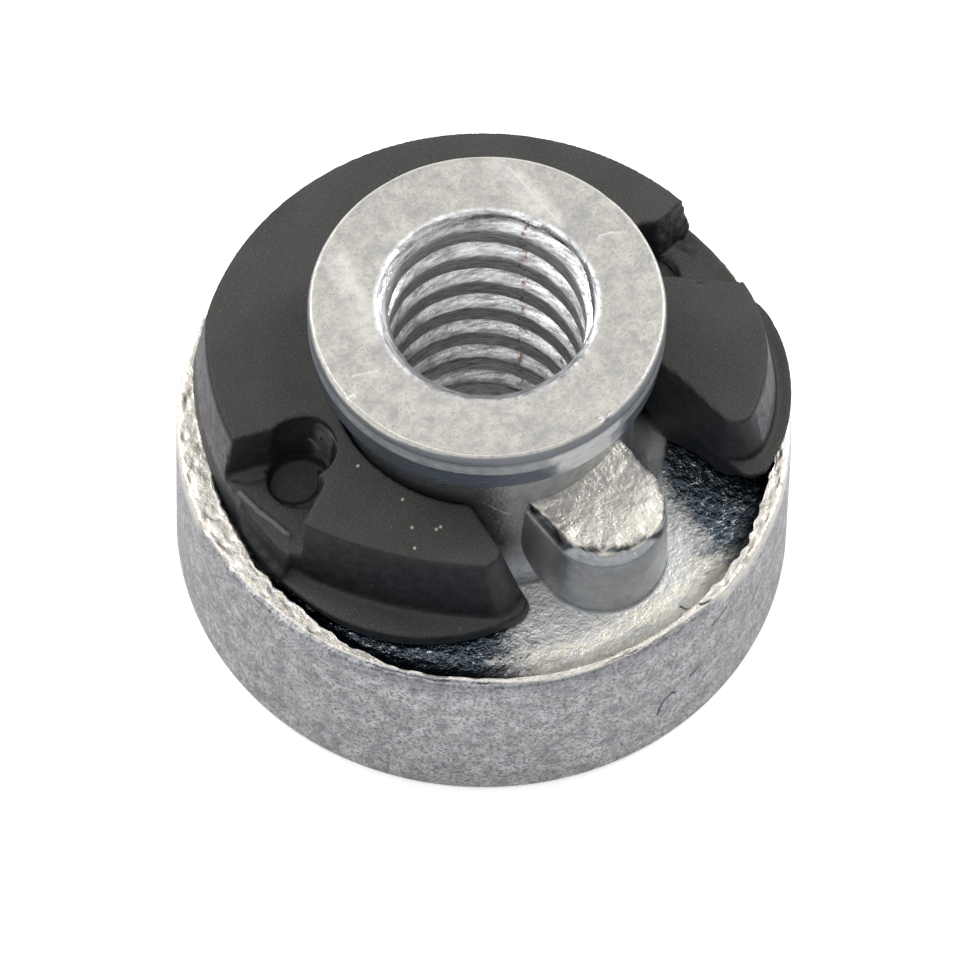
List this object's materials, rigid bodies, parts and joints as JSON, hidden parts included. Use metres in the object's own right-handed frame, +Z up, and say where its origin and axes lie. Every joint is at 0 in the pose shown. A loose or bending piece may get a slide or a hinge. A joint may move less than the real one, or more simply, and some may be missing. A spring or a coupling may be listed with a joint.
{
  "type": "seat mount nut",
  "caption": "Round die-cast threaded nut with a dished base, a necked collar and one lug between the ends of a C-shaped moulded retainer that sits round its neck.",
  "frame": {"origin": "centre of the flat underside, on the axis of the threaded bore", "axes": "+Z up the threaded bore towards the collar; -Y along the lug"},
  "size_m": [0.0166, 0.0166, 0.0111],
  "materials": {
    "cast_zinc": "die-cast zinc skin, satin, with a bright worn rim and a tapped thread",
    "black_elastomer": "matte black moulded elastomer"
  },
  "bodies": {
    "root": {"cast_nut": "cast_zinc", "retainer_ring": "black_elastomer"}
  },
  "joints": []
}
